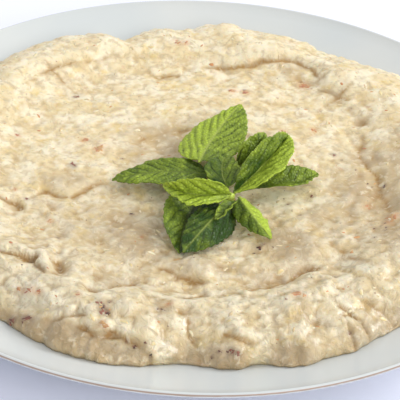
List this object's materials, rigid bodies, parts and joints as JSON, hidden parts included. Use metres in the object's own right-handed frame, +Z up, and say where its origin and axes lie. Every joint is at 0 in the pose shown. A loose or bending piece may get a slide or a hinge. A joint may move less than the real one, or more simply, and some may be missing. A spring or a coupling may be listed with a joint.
{
  "type": "baba ganoush",
  "caption": "Roasted aubergine dip spread in a shallow round dish, swept hollow in the middle with a lumpy raised bank, garnished with a sprig of mint.",
  "frame": {"origin": "centre of the dish at the plane it stands on", "axes": "+Z up along the dish's axis, -Y towards the front of the dish, +X to the right seen from the front"},
  "size_m": [0.26, 0.26, 0.0447],
  "materials": {
    "porcelain": "glossy white glaze, faintly cool",
    "dip": "moist cream aubergine and tahini paste with charred flecks",
    "mint_leaf": "fresh green leaf, soft sheen, lit through where thin",
    "mint_stem": "pale green stem, soft sheen"
  },
  "bodies": {
    "root": {"dish": "porcelain", "baba_ganoush": "dip", "mint_stem": "mint_stem", "mint_leaf_left": "mint_leaf", "mint_leaf_far": "mint_leaf", "mint_leaf_far_small": "mint_leaf", "mint_leaf_right": "mint_leaf", "mint_leaf_right_low": "mint_leaf", "mint_leaf_front_left": "mint_leaf", "mint_leaf_front_deep": "mint_leaf", "mint_leaf_front": "mint_leaf", "mint_leaf_front_right": "mint_leaf", "mint_leaf_front_small": "mint_leaf", "mint_leaf_middle": "mint_leaf"}
  },
  "joints": []
}
